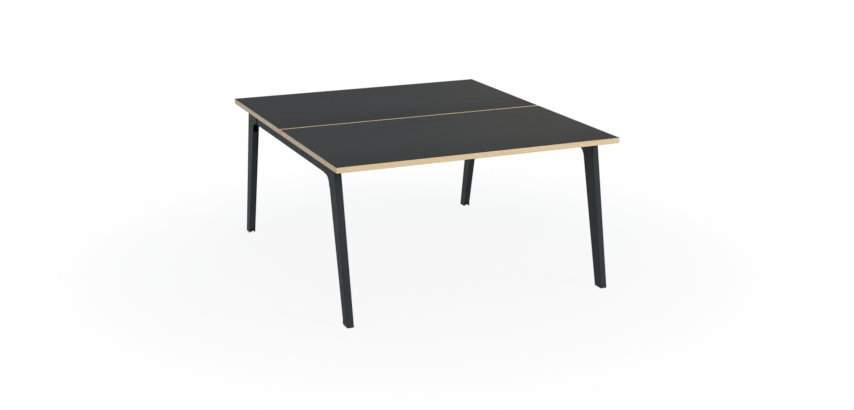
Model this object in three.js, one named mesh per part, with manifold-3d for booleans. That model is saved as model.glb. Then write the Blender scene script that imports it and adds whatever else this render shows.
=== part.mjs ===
// A benching desk for two people who sit face to face: two plywood tops with a narrow gap between them,
// two end frames of folded sheet steel with splayed legs, two beams under the tops and four levelling feet.
// Millimetres, +Z up. The origin is on the floor under the middle of the desk, and X runs along the gap.
import * as THREE from "three";
import { mergeVertices } from "three/addons/utils/BufferGeometryUtils.js";
import Module from "manifold-3d";

const wasm = await Module();
wasm.setup();

// Tops: a plywood core with a thin laminate glued on both faces.
const DESK_HEIGHT = 740;
const TOP_WIDTH = 1400;
const TOP_DEPTH = 793;
const TOP_GAP = 14;
const TOP_CORNER_RADIUS = 2;
const CORE_THICKNESS = 24;
const LAMINATE_THICKNESS = 0.8;
const GLUE_LINE = 0.1;

// End frames: folded from sheet, with the fold's inside radius. The rail's ends fit inside the leg heads.
const SHEET = 3;
const FOLD_INSIDE = 2;
const LEG_WIDTH = 33;
const FRAME_INSET = 36;
const RAIL_DEPTH = 64;
const RAIL_TONGUE = 80;

// Legs: insets are from the top's long edge to the web's outer face, depths from the web to the open side.
const LEG_TOP_INSET = 135;
const LEG_FOOT_INSET = 0;
const LEG_TOP_DEPTH = 95;
const LEG_FOOT_DEPTH = 57;
const LEG_LIFT = 3;
const KNEE_RADIUS = 48;
const KNEE_LAND = 17;
const KNEE_JOINT_GAP = 1;
const SEAM_GAP = 1.5;
const RETURN_SETBACK = 16;
const RETURN_RELIEF = 3;

// Knee nut plates: tapped plates inside the rail's tongues, for the bolts that hold the tongues in the legs.
const NUT_PLATE = 5;
const NUT_PLATE_DEPTH = 24;
const NUT_PLATE_EDGE = 11;
const NUT_PLATE_CORNER = 4;
const KNEE_BOLT_SETBACKS = { outer: 60, inner: 20 };

// Beams: rectangular tubes from end frame to end frame, each on a bracket with a stub inside the tube.
const BEAM_SETBACK = 470;
const BEAM_WIDTH = 30;
const BEAM_DEPTH = 50;
const BEAM_WALL = 2;
const BEAM_CORNER_INSIDE = 1;
const BRACKET_PLATE = 5;
const BRACKET_EDGE = 14;
const BRACKET_CORNER = 6;
const STUB_LENGTH = 60;
const STUB_WALL = 3;
const BEAM_BOLT_SPACING = 60;

// Levelling feet: a glide pad holds the ball of a stud that screws into a nut on the foot plate.
const GLIDE_CLEARANCE = 1.5;
const GLIDE_BACK_CLEARANCE = 8;
const GLIDE_EDGE_RADIUS = 1.5;
const PAD_FLOOR = 1.5;
const BALL_RADIUS = 5.5;
const SOCKET_LIP = 2.7;
const STUD_DIAMETER = 8;
const STUD_NECK_DIAMETER = 6.4;
const STUD_LENGTH = 44;
const STUD_TIP_CHAMFER = 1;
const HEX_LIFT = 5;
const HEX_HEIGHT = 8;
const HEX_ACROSS_FLATS = 13;
const FOOT_PLATE = 4;
const FOOT_PLATE_SETBACK = 6;
const FOOT_NUT_HEIGHT = 6.5;

// Fasteners: round heads with a hexagon socket.
const KNEE_BOLT_DIAMETER = 6;
const BEAM_BOLT_DIAMETER = 8;
const TOP_SCREW_DIAMETER = 6;
const TOP_SCREW_BITE = 16;
const TOP_SCREW_SETBACKS = { outer: 380, inner: 650 };
const BOLT_PROUD = 3;
const HEAD_DIAMETER_RATIO = 1.75;
const HEAD_HEIGHT_RATIO = 0.55;
const SOCKET_DIAMETER_RATIO = 0.75;
const SOCKET_DEPTH_RATIO = 0.3;
const TIP_CHAMFER_RATIO = 0.1;
const CROWN_SHOULDER = 0.6;

// Clearance wherever two pieces meet or one passes through another.
const FIT = 0.3;

// Facets: steps of a fold or rounded corner, of the knee's arc and of a ball, and sides of what is round.
const FOLD_STEPS = 2;
const KNEE_STEPS = 7;
const BALL_STEPS = 5;
const BOLT_SIDES = 10;
const STUD_SIDES = 14;
const GLIDE_SIDES = 20;

// Places that follow from the sizes above.
const HALF_DEPTH = TOP_GAP / 2 + TOP_DEPTH;
const SKIN = LAMINATE_THICKNESS + GLUE_LINE;
const TOP_UNDERSIDE = DESK_HEIGHT - CORE_THICKNESS - 2 * SKIN;
const FRAME_TOP = TOP_UNDERSIDE - FIT;
const RAIL_BOTTOM = FRAME_TOP - RAIL_DEPTH;
const FRAME_X = TOP_WIDTH / 2 - FRAME_INSET - LEG_WIDTH / 2;
const FOLD_OUTSIDE = FOLD_INSIDE + SHEET;
const LEG_INSIDE = LEG_WIDTH - 2 * SHEET;
const RAIL_WIDTH = LEG_INSIDE - 2 * FIT;
const RAIL_INSIDE = RAIL_WIDTH - 2 * SHEET;
const LEAN = Math.atan2(LEG_TOP_INSET - LEG_FOOT_INSET, FRAME_TOP);
const PLENTY = DESK_HEIGHT + HALF_DEPTH;

const X = new THREE.Vector3(1, 0, 0);
const Y = new THREE.Vector3(0, 1, 0);
const Z = new THREE.Vector3(0, 0, 1);
const DOWN = new THREE.Vector3(0, 0, -1);
const UP_THE_LEG = new THREE.Vector3(0, Math.sin(LEAN), Math.cos(LEAN));
const OFF_THE_WEB = new THREE.Vector3(0, Math.cos(LEAN), -Math.sin(LEAN));

const between = (low, high, share) => low + (high - low) * share;
const webAt = (z) => between(LEG_FOOT_INSET, LEG_TOP_INSET, z / FRAME_TOP);
const openEdgeAt = (z) =>
  between(LEG_FOOT_INSET + LEG_FOOT_DEPTH, LEG_TOP_INSET + LEG_TOP_DEPTH, z / FRAME_TOP);
const webInsideAt = (z) => webAt(z) + SHEET / Math.cos(LEAN);

// The knee's arc ends a land short of the leg head's end, and the rail's tongues reach in from there.
const OPEN_EDGE_LEAN = Math.atan2(openEdgeAt(FRAME_TOP) - openEdgeAt(0), FRAME_TOP);
const UP_THE_EDGE = new THREE.Vector3(0, Math.sin(OPEN_EDGE_LEAN), Math.cos(OPEN_EDGE_LEAN));
const OFF_THE_EDGE = new THREE.Vector3(0, -Math.cos(OPEN_EDGE_LEAN), Math.sin(OPEN_EDGE_LEAN));
const KNEE_TANGENT = KNEE_RADIUS / Math.tan((Math.PI / 2 + OPEN_EDGE_LEAN) / 2);
const KNEE_END = openEdgeAt(RAIL_BOTTOM) + KNEE_TANGENT + KNEE_LAND;
const RAIL_HALF_LENGTH = HALF_DEPTH - KNEE_END + RAIL_TONGUE;
const TONGUE_DROP = FOLD_OUTSIDE + FIT;
const KNEE_BOLT_Z = RAIL_BOTTOM + (RAIL_DEPTH - TONGUE_DROP) / 2;
const BEAM_BOLT_Z = FRAME_TOP - BEAM_DEPTH / 2;

// The levelling foot stands on the floor and is screwed in until its hexagon meets the foot plate.
const GLIDE_RADIUS = LEG_INSIDE / 2 - GLIDE_CLEARANCE;
const BALL_Z = PAD_FLOOR + FIT + BALL_RADIUS;
const PAD_TOP = BALL_Z + SOCKET_LIP;
const HEX_BOTTOM = PAD_TOP + HEX_LIFT;
const HEX_TOP = HEX_BOTTOM + HEX_HEIGHT;
const FOOT_PLATE_Z = HEX_TOP + FIT;
const FOOT_INSET = webInsideAt(PAD_TOP) + GLIDE_BACK_CLEARANCE + GLIDE_RADIUS;

// A closed outline through corners [x, y, radius], where a corner with a radius is rounded by a tangent arc.
function outline(corners) {
  const shape = new THREE.Shape();
  const points = corners.map(([x, y]) => new THREE.Vector2(x, y));
  points.forEach((corner, i) => {
    const radius = corners[i][2] ?? 0;
    const before = points.at(i - 1).clone().sub(corner).normalize();
    const after = points[(i + 1) % points.length].clone().sub(corner).normalize();
    const half = Math.acos(before.dot(after)) / 2;
    const start = corner.clone().addScaledVector(before, radius / Math.tan(half));
    const end = corner.clone().addScaledVector(after, radius / Math.tan(half));
    if (i) shape.lineTo(start.x, start.y);
    else shape.moveTo(start.x, start.y);
    if (!radius) return;
    const middle = before.clone().add(after).normalize();
    const centre = corner.clone().addScaledVector(middle, radius / Math.sin(half));
    const from = start.clone().sub(centre).angle();
    const to = end.clone().sub(centre).angle();
    shape.absarc(centre.x, centre.y, radius, from, to, before.cross(after) > 0);
  });
  return shape;
}

function rectangle(width, height, radius) {
  const [x, y] = [width / 2, height / 2];
  return outline([
    [-x, -y, radius],
    [x, -y, radius],
    [x, y, radius],
    [-x, y, radius],
  ]);
}

// Extrudes a shape from a place: its own x and y run along right and up, and its depth along right x up.
function extrude(shape, depth, { at = [0, 0, 0], right = X, up = Y, steps = FOLD_STEPS } = {}) {
  const geometry = new THREE.ExtrudeGeometry(shape, { depth, bevelEnabled: false, curveSegments: steps });
  const along = new THREE.Vector3().crossVectors(right, up);
  return geometry.applyMatrix4(new THREE.Matrix4().makeBasis(right, up, along).setPosition(...at));
}

// A turned form about the Z axis, from a profile of [radius, z] points that starts and ends on the axis.
function turned(profile, sides) {
  const points = profile.map(([radius, z]) => new THREE.Vector2(radius, z));
  return new THREE.LatheGeometry(points, sides).rotateX(Math.PI / 2);
}

// A round or hexagonal bar along an axis, from a place and in the axis's direction.
function bar(radius, length, sides, { at = [0, 0, 0], along = Z } = {}) {
  const geometry = new THREE.CylinderGeometry(radius, radius, length, sides).translate(0, length / 2, 0);
  const turn = new THREE.Quaternion().setFromUnitVectors(Y, along);
  return geometry.applyQuaternion(turn).translate(...at);
}

function solid(geometry) {
  const bare = geometry.clone();
  bare.deleteAttribute("normal");
  bare.deleteAttribute("uv");
  const merged = mergeVertices(bare);
  return new wasm.Manifold(
    new wasm.Mesh({
      numProp: 3,
      vertProperties: new Float32Array(merged.attributes.position.array),
      triVerts: new Uint32Array(merged.index.array),
    }),
  );
}

function surface(body) {
  const { vertProperties, triVerts } = body.getMesh();
  const indexed = new THREE.BufferGeometry();
  indexed.setAttribute("position", new THREE.BufferAttribute(vertProperties, 3));
  indexed.setIndex(new THREE.BufferAttribute(triVerts, 1));
  const flat = indexed.toNonIndexed();
  flat.computeVertexNormals();
  return flat;
}

function cut(body, ...tools) {
  return tools.reduce((left, tool) => left.subtract(solid(tool)), body);
}

// A hole for a bolt or screw, right through whatever it meets within its reach.
function hole(diameter, reach, at, along) {
  return bar(diameter / 2 + FIT, reach, BOLT_SIDES, { at, along });
}

// The space inside a fold: full width at a sheet's face, with its two long edges rounded.
function foldedSpace(width, radius) {
  return outline([
    [-width / 2, PLENTY],
    [-width / 2, 0, radius],
    [width / 2, 0, radius],
    [width / 2, PLENTY],
  ]);
}

// An inverted channel along Y: its web is on top and its two sides hang down.
function channelProfile(width, depth, sheet, inside) {
  const [x, inner] = [width / 2, width / 2 - sheet];
  return outline([
    [-x, depth],
    [-x, 0, inside + sheet],
    [x, 0, inside + sheet],
    [x, depth],
    [inner, depth],
    [inner, sheet, inside],
    [-inner, sheet, inside],
    [-inner, depth],
  ]);
}

function topLayer(bottom, thickness, screwHoles) {
  const middle = -(TOP_GAP + TOP_DEPTH) / 2;
  const plate = extrude(rectangle(TOP_WIDTH, TOP_DEPTH, TOP_CORNER_RADIUS), thickness, {
    at: [0, middle, bottom],
  });
  return surface(cut(solid(plate), ...screwHoles));
}

function topScrewHoles() {
  const reach = 2 * FIT + SKIN + TOP_SCREW_BITE;
  return [-FRAME_X, FRAME_X].flatMap((x) =>
    Object.values(TOP_SCREW_SETBACKS).map((setback) =>
      hole(TOP_SCREW_DIAMETER, reach, [x, setback - HALF_DEPTH, TOP_UNDERSIDE - FIT], Z),
    ),
  );
}

// The return closes a leg towards the middle of the frame, from the foot plate nearly up to the knee's arc.
// It folds from the outer side and leaves a seam at the inner one. The sheet is notched past both ends of
// its fold.
function withReturn(folded, hand) {
  const setback = KNEE_TANGENT + RETURN_SETBACK;
  const length = (RAIL_BOTTOM - FOOT_PLATE_Z) / UP_THE_EDGE.z - setback;
  const top = new THREE.Vector3(0, openEdgeAt(RAIL_BOTTOM), RAIL_BOTTOM);
  top.addScaledVector(UP_THE_EDGE, RETURN_RELIEF - setback);
  const [outer, inner] = [-hand * LEG_WIDTH / 2, -hand * LEG_INSIDE / 2];
  const seam = hand * (LEG_INSIDE / 2 - SEAM_GAP);
  const notch = outline([
    [outer - hand * FIT, -FIT],
    [inner + hand * FIT, -FIT],
    [inner + hand * FIT, FOLD_OUTSIDE],
    [outer - hand * FIT, FOLD_OUTSIDE],
  ]);
  const sheet = outline([
    [outer, 2 * FOLD_OUTSIDE],
    [outer, 0, FOLD_OUTSIDE],
    [seam, 0],
    [seam, SHEET],
    [inner, SHEET, FOLD_INSIDE],
    [inner, 2 * FOLD_OUTSIDE],
  ]);
  const notchLength = length + 2 * RETURN_RELIEF;
  const notched = cut(folded, extrude(notch, notchLength, { at: top.toArray(), up: OFF_THE_EDGE }));
  top.addScaledVector(UP_THE_EDGE, -RETURN_RELIEF);
  return notched.add(solid(extrude(sheet, length, { at: top.toArray(), up: OFF_THE_EDGE })));
}

// A leg is one sheet folded into a tapering box: a web on the outside, two sides that widen into the knee, a
// top that folds over from the web, and the return. It is open at the knee and cut level above the floor.
// Its sides' outline is rounded along the folds, and then the space inside the folds is taken out.
function leg(hand) {
  const sides = outline([
    [webAt(LEG_LIFT), LEG_LIFT],
    [openEdgeAt(LEG_LIFT), LEG_LIFT],
    [openEdgeAt(RAIL_BOTTOM), RAIL_BOTTOM, KNEE_RADIUS],
    [KNEE_END, RAIL_BOTTOM],
    [KNEE_END, FRAME_TOP],
    [webAt(FRAME_TOP), FRAME_TOP, FOLD_OUTSIDE],
  ]);
  const block = extrude(sides, LEG_WIDTH, {
    at: [-LEG_WIDTH / 2, 0, 0],
    right: Y,
    up: Z,
    steps: KNEE_STEPS,
  });
  const underWeb = (width, radius, depth) => {
    const foot = new THREE.Vector3(0, LEG_FOOT_INSET, 0).addScaledVector(OFF_THE_WEB, depth);
    const at = foot.addScaledVector(UP_THE_LEG, -PLENTY).toArray();
    return solid(extrude(foldedSpace(width, radius), 3 * PLENTY, { at, up: OFF_THE_WEB }));
  };
  const underTop = (width, radius, depth) => {
    const at = [0, -PLENTY, FRAME_TOP - depth];
    return solid(extrude(foldedSpace(width, radius), 3 * PLENTY, { at, up: DOWN }));
  };
  const outside = underWeb(LEG_WIDTH, FOLD_OUTSIDE, 0).intersect(
    underTop(LEG_WIDTH, FOLD_OUTSIDE, 0),
  );
  const inside = underWeb(LEG_INSIDE, FOLD_INSIDE, SHEET).intersect(
    underTop(LEG_INSIDE, FOLD_INSIDE, SHEET),
  );
  const folded = solid(block).intersect(outside).subtract(inside);
  return surface(cut(withReturn(folded, hand), ...kneeBoltHoles(hand)));
}

function kneeBoltHoles(hand) {
  const towardsMiddle = X.clone().multiplyScalar(hand);
  return Object.values(KNEE_BOLT_SETBACKS).map((setback) =>
    hole(KNEE_BOLT_DIAMETER, LEG_WIDTH, [0, KNEE_END - setback, KNEE_BOLT_Z], towardsMiddle),
  );
}

// An end rail is a folded channel, open below. At each end its top is cut back, and the two sides go on as
// tongues inside the leg head. It has holes for the top screws, the knee bolts and the beam bolts.
function endRail(hand) {
  const profile = channelProfile(RAIL_WIDTH, RAIL_DEPTH, SHEET, FOLD_INSIDE);
  const channel = extrude(profile, 2 * RAIL_HALF_LENGTH, { at: [0, -RAIL_HALF_LENGTH, FRAME_TOP], up: DOWN });
  const towardsMiddle = X.clone().multiplyScalar(hand);
  const beamY = HALF_DEPTH - BEAM_SETBACK;
  const sideHoles = [
    ...Object.values(KNEE_BOLT_SETBACKS).map((setback) => [
      KNEE_BOLT_DIAMETER,
      HALF_DEPTH - KNEE_END + setback,
      KNEE_BOLT_Z,
    ]),
    [BEAM_BOLT_DIAMETER, beamY - BEAM_BOLT_SPACING / 2, BEAM_BOLT_Z],
    [BEAM_BOLT_DIAMETER, beamY + BEAM_BOLT_SPACING / 2, BEAM_BOLT_Z],
  ];
  const cutBack = [LEG_WIDTH, 2 * (RAIL_TONGUE + KNEE_JOINT_GAP), 2 * TONGUE_DROP];
  const tools = [-1, 1].flatMap((end) => [
    new THREE.BoxGeometry(...cutBack).translate(0, end * RAIL_HALF_LENGTH, FRAME_TOP),
    ...sideHoles.map(([size, y, z]) => hole(size, LEG_WIDTH, [0, end * y, z], towardsMiddle)),
    ...Object.values(TOP_SCREW_SETBACKS).map((setback) =>
      hole(TOP_SCREW_DIAMETER, 4 * SHEET, [0, end * (HALF_DEPTH - setback), FRAME_TOP - 2 * SHEET], Z),
    ),
  ]);
  return surface(cut(solid(channel), ...tools));
}

function kneeNutPlate(hand) {
  const { outer, inner } = KNEE_BOLT_SETBACKS;
  const middle = hand * (RAIL_INSIDE / 2 - FIT - NUT_PLATE / 2);
  const shape = rectangle(outer - inner + 2 * NUT_PLATE_EDGE, NUT_PLATE_DEPTH, NUT_PLATE_CORNER);
  const at = [middle - NUT_PLATE / 2, KNEE_END - (outer + inner) / 2, KNEE_BOLT_Z];
  return surface(cut(solid(extrude(shape, NUT_PLATE, { at, right: Y, up: Z })), ...kneeBoltHoles(hand)));
}

function beam(length) {
  const tube = rectangle(BEAM_WIDTH, BEAM_DEPTH, BEAM_CORNER_INSIDE + BEAM_WALL);
  tube.holes.push(rectangle(BEAM_WIDTH - 2 * BEAM_WALL, BEAM_DEPTH - 2 * BEAM_WALL, BEAM_CORNER_INSIDE));
  return extrude(tube, length, { at: [-length / 2, 0, 0], right: Y, up: Z });
}

// A beam bracket is a plate for the rail's inner side with a stub of tube welded on, along +X.
function beamBracket() {
  const bolts = [-BEAM_BOLT_SPACING / 2, BEAM_BOLT_SPACING / 2];
  const plate = extrude(
    rectangle(BEAM_BOLT_SPACING + 2 * BRACKET_EDGE, BEAM_DEPTH, BRACKET_CORNER),
    BRACKET_PLATE,
    { right: Y, up: Z },
  );
  const width = BEAM_WIDTH - 2 * (BEAM_WALL + FIT);
  const depth = BEAM_DEPTH - 2 * (BEAM_WALL + FIT);
  const stub = rectangle(width, depth, BEAM_CORNER_INSIDE + STUB_WALL);
  stub.holes.push(rectangle(width - 2 * STUB_WALL, depth - 2 * STUB_WALL, BEAM_CORNER_INSIDE));
  const welded = solid(plate).add(
    solid(extrude(stub, BRACKET_PLATE / 2 + STUB_LENGTH, { at: [BRACKET_PLATE / 2, 0, 0], right: Y, up: Z })),
  );
  const tools = bolts.map((y) =>
    hole(BEAM_BOLT_DIAMETER, 3 * BRACKET_PLATE, [-BRACKET_PLATE, y, 0], X),
  );
  return surface(cut(welded, ...tools));
}

// A bolt along Z: the underside of its head is at zero, and its shank points down.
function bolt(diameter, length) {
  const head = diameter * HEAD_DIAMETER_RATIO / 2;
  const height = diameter * HEAD_HEIGHT_RATIO;
  const socket = diameter * SOCKET_DIAMETER_RATIO / 2;
  const chamfer = diameter * TIP_CHAMFER_RATIO;
  const crown = [CROWN_SHOULDER, 1].map((share) => {
    const angle = share * Math.PI / 2;
    return [between(socket, head, Math.sin(angle)), height * Math.cos(angle)];
  });
  const profile = [
    [0, -length],
    [diameter / 2 - chamfer, -length],
    [diameter / 2, chamfer - length],
    [diameter / 2, 0],
    ...crown.reverse(),
    [socket + chamfer, height],
    [0, height],
  ];
  const depth = diameter * SOCKET_DEPTH_RATIO;
  const recess = bar(socket, 2 * depth, 6, { at: [0, 0, height - depth] });
  return surface(cut(solid(turned(profile, BOLT_SIDES)), recess));
}

// The foot plate is welded across the leg just above the floor and carries the nut for the stud.
function footPlate() {
  const top = FOOT_PLATE_Z + FOOT_PLATE;
  const x = LEG_INSIDE / 2 - FIT;
  const back = webInsideAt(top) + FIT;
  const front = openEdgeAt(FOOT_PLATE_Z) - FOOT_PLATE_SETBACK;
  const corner = FOLD_INSIDE + FIT;
  const plate = outline([
    [-x, back, corner],
    [x, back, corner],
    [x, front],
    [-x, front],
  ]);
  const nutRadius = HEX_ACROSS_FLATS / 2 / Math.cos(Math.PI / 6);
  const nut = bar(nutRadius, FOOT_PLATE / 2 + FOOT_NUT_HEIGHT, 6, {
    at: [0, FOOT_INSET, top - FOOT_PLATE / 2],
  });
  const welded = solid(extrude(plate, FOOT_PLATE, { at: [0, 0, FOOT_PLATE_Z] })).add(solid(nut));
  const reach = 2 * (FOOT_PLATE + FOOT_NUT_HEIGHT);
  const thread = bar(STUD_DIAMETER / 2 + FIT, reach, STUD_SIDES, {
    at: [0, FOOT_INSET, FOOT_PLATE_Z - FOOT_PLATE],
  });
  return surface(cut(welded, thread));
}

// Points of a ball's outline from one height to another, as [radius, z].
function ballArc(radius, centre, low, high) {
  const [from, to] = [low, high].map((z) => Math.asin(Math.max(-1, (z - centre) / radius)));
  return Array.from({ length: BALL_STEPS + 1 }, (_, i) => {
    const angle = between(from, to, i / BALL_STEPS);
    return [Math.cos(angle) * radius, centre + Math.sin(angle) * radius];
  });
}

// The stud turns in the pad on its ball, and a spanner turns it by the hexagon above the neck.
function footStud() {
  const [neck, thread] = [STUD_NECK_DIAMETER / 2, STUD_DIAMETER / 2];
  const ballTop = BALL_Z + Math.sqrt(BALL_RADIUS ** 2 - neck ** 2);
  const tip = HEX_TOP + STUD_LENGTH;
  const ball = ballArc(BALL_RADIUS, BALL_Z, BALL_Z - BALL_RADIUS, ballTop).slice(1);
  const profile = [
    [0, BALL_Z - BALL_RADIUS],
    ...ball,
    [neck, HEX_BOTTOM + HEX_HEIGHT / 2],
    [thread, HEX_BOTTOM + HEX_HEIGHT / 2],
    [thread, tip - STUD_TIP_CHAMFER],
    [thread - STUD_TIP_CHAMFER, tip],
    [0, tip],
  ];
  const hexRadius = HEX_ACROSS_FLATS / 2 / Math.cos(Math.PI / 6);
  const hexagon = bar(hexRadius, HEX_HEIGHT, 6, { at: [0, 0, HEX_BOTTOM] });
  return surface(solid(turned(profile, STUD_SIDES)).add(solid(hexagon)));
}

// The pad is moulded round a socket whose lip is narrower than the ball, so that it can't drop off.
function glidePad() {
  const socket = ballArc(BALL_RADIUS + FIT, BALL_Z, PAD_FLOOR, PAD_TOP);
  const profile = [
    [0, 0],
    [GLIDE_RADIUS - GLIDE_EDGE_RADIUS, 0],
    [GLIDE_RADIUS - GLIDE_EDGE_RADIUS * (1 - Math.SQRT1_2), GLIDE_EDGE_RADIUS * (1 - Math.SQRT1_2)],
    [GLIDE_RADIUS, GLIDE_EDGE_RADIUS],
    [GLIDE_RADIUS, PAD_TOP - GLIDE_EDGE_RADIUS],
    [GLIDE_RADIUS - GLIDE_EDGE_RADIUS, PAD_TOP],
    ...socket.slice(1).reverse(),
    [0, PAD_FLOOR],
  ];
  return turned(profile, GLIDE_SIDES);
}

const FINISHES = {
  laminate: { color: 0x464749, roughness: 0.55, metalness: 0 },
  plywood: { color: 0xdcbe96, roughness: 0.5, metalness: 0 },
  powderCoat: { color: 0x33383b, roughness: 0.5, metalness: 0 },
  zinc: { color: 0xb9bcbf, roughness: 0.35, metalness: 1 },
  blackZinc: { color: 0x2c2d2f, roughness: 0.45, metalness: 1 },
  nylon: { color: 0x1b1c1d, roughness: 0.6, metalness: 0 },
};

function piece(name, geometry, finish, { at = [0, 0, 0], turn = [0, 0, 0] } = {}) {
  const mesh = new THREE.Mesh(geometry, new THREE.MeshStandardMaterial(FINISHES[finish]));
  mesh.name = name;
  mesh.position.set(...at);
  mesh.rotation.set(...turn);
  return mesh;
}

// One corner of the desk, seen from the long edge that it stands at: the leg with its foot, the nut plate and
// bolts at its knee, the bracket of that half's beam and the screws into the top.
function corner(name, side) {
  const hand = -side;
  const x = side * FRAME_X;
  const group = new THREE.Group();
  group.position.set(x, -HALF_DEPTH, 0);
  const facingMiddle = [0, hand * Math.PI / 2, 0];
  group.add(piece(`leg_${name}`, leg(hand), "powderCoat"));
  group.add(piece(`knee_nut_plate_${name}`, kneeNutPlate(hand), "zinc"));

  const kneeBolt = bolt(KNEE_BOLT_DIAMETER, 3 * FIT + 2 * SHEET + NUT_PLATE + BOLT_PROUD);
  for (const [where, setback] of Object.entries(KNEE_BOLT_SETBACKS)) {
    const at = [hand * (LEG_WIDTH / 2 + FIT), KNEE_END - setback, KNEE_BOLT_Z];
    group.add(piece(`knee_bolt_${name}_${where}`, kneeBolt, "zinc", { at, turn: facingMiddle }));
  }

  const bracketFace = hand * (RAIL_WIDTH / 2 + FIT);
  const bracketTurn = [0, 0, side < 0 ? 0 : Math.PI];
  const bracketAt = [bracketFace, BEAM_SETBACK, BEAM_BOLT_Z];
  group.add(piece(`beam_bracket_${name}`, beamBracket(), "powderCoat", { at: bracketAt, turn: bracketTurn }));
  const beamBolt = bolt(BEAM_BOLT_DIAMETER, 2 * FIT + BRACKET_PLATE + SHEET + BOLT_PROUD);
  const beamBoltYs = { outer: -BEAM_BOLT_SPACING / 2, inner: BEAM_BOLT_SPACING / 2 };
  for (const [where, y] of Object.entries(beamBoltYs)) {
    const at = [bracketFace + hand * (BRACKET_PLATE + FIT), BEAM_SETBACK + y, BEAM_BOLT_Z];
    group.add(piece(`beam_bolt_${name}_${where}`, beamBolt, "zinc", { at, turn: facingMiddle }));
  }

  const topScrew = bolt(TOP_SCREW_DIAMETER, 2 * FIT + SHEET + SKIN + TOP_SCREW_BITE);
  for (const [where, setback] of Object.entries(TOP_SCREW_SETBACKS)) {
    const at = [0, setback, FRAME_TOP - SHEET - FIT];
    group.add(piece(`top_screw_${name}_${where}`, topScrew, "zinc", { at, turn: [Math.PI, 0, 0] }));
  }

  group.add(piece(`foot_plate_${name}`, footPlate(), "powderCoat"));
  group.add(piece(`foot_stud_${name}`, footStud(), "blackZinc", { at: [0, FOOT_INSET, 0] }));
  group.add(piece(`glide_pad_${name}`, glidePad(), "nylon", { at: [0, FOOT_INSET, 0] }));
  return group;
}

// Half of the desk: one person's top, the beam under it and the two corners that it stands on.
function half(end, turn) {
  const group = new THREE.Group();
  group.rotation.z = turn;
  const screwHoles = topScrewHoles();
  const coreBottom = TOP_UNDERSIDE + SKIN;
  const laminateBottom = DESK_HEIGHT - LAMINATE_THICKNESS;
  group.add(piece(`top_core_${end}`, topLayer(coreBottom, CORE_THICKNESS, screwHoles), "plywood"));
  group.add(piece(`top_laminate_${end}`, topLayer(laminateBottom, LAMINATE_THICKNESS, []), "laminate"));
  group.add(piece(`top_backer_${end}`, topLayer(TOP_UNDERSIDE, LAMINATE_THICKNESS, screwHoles), "laminate"));
  const beamLength = 2 * (FRAME_X - RAIL_WIDTH / 2 - BRACKET_PLATE - 2 * FIT);
  const beamAt = [0, BEAM_SETBACK - HALF_DEPTH, BEAM_BOLT_Z];
  group.add(piece(`beam_${end}`, beam(beamLength), "powderCoat", { at: beamAt }));
  for (const side of [-1, 1]) {
    const left = turn ? side > 0 : side < 0;
    group.add(corner(`${end}_${left ? "left" : "right"}`, side));
  }
  return group;
}

const desk = new THREE.Group();
desk.add(half("front", 0));
desk.add(half("rear", Math.PI));
for (const [name, side] of Object.entries({ left: -1, right: 1 })) {
  desk.add(piece(`end_rail_${name}`, endRail(-side), "powderCoat", { at: [side * FRAME_X, 0, 0] }));
}

export default desk;
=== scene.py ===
import math

import bmesh
import bpy
from mathutils import Matrix, Vector


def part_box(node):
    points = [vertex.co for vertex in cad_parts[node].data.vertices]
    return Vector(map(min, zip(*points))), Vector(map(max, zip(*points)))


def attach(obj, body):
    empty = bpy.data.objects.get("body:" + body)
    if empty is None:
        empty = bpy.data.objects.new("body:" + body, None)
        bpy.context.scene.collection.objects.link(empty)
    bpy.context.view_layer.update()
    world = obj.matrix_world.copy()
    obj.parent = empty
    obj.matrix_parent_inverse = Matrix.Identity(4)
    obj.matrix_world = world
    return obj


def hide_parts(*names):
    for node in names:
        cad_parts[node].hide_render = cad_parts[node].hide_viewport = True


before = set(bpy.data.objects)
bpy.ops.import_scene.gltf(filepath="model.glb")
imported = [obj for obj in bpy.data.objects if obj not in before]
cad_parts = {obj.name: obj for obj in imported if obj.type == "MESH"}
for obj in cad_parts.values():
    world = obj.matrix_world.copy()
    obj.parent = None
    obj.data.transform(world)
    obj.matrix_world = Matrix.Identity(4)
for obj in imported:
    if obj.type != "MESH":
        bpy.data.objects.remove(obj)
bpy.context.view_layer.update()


# Legs and end rails: laser cut and folded from 3 mm sheet steel. Each leg is a tapering box with a seam on
# its inner side and a knee cut as one round sweep, and the rail's ends go into the open knees. They are
# coated before they are put together, so the coat runs round every cut edge.
MM = 0.001
CORNERS = [f"{end}_{side}" for end in ("front", "rear") for side in ("left", "right")]
SHEET_ARRIS = 0.35 * MM
ARRIS_STEPS = 2
MERGE_DISTANCE = 0.002 * MM
FLAT_ANGLE = math.radians(0.5)
FOLD_FACET = math.radians(30)


def merged_copy(node):
    """A bmesh of a CAD node's solid, with its triangles joined into whole faces."""
    bm = bmesh.new()
    bm.from_mesh(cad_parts[node].data)
    bmesh.ops.remove_doubles(bm, verts=bm.verts, dist=MERGE_DISTANCE)
    bmesh.ops.dissolve_limit(bm, angle_limit=FLAT_ANGLE, verts=bm.verts, edges=bm.edges)
    return bm


def ease_edges(bm, width, wanted=lambda edge: True):
    """Rounds the sharp edges that are wanted, and leaves the facets of folds alone."""
    sharp = [edge for edge in bm.edges if edge.calc_face_angle(0) > FOLD_FACET and wanted(edge)]
    bmesh.ops.bevel(
        bm,
        geom=sharp,
        offset=width,
        segments=ARRIS_STEPS,
        profile=0.5,
        affect="EDGES",
        material=-1,
        clamp_overlap=False,
    )


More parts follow.
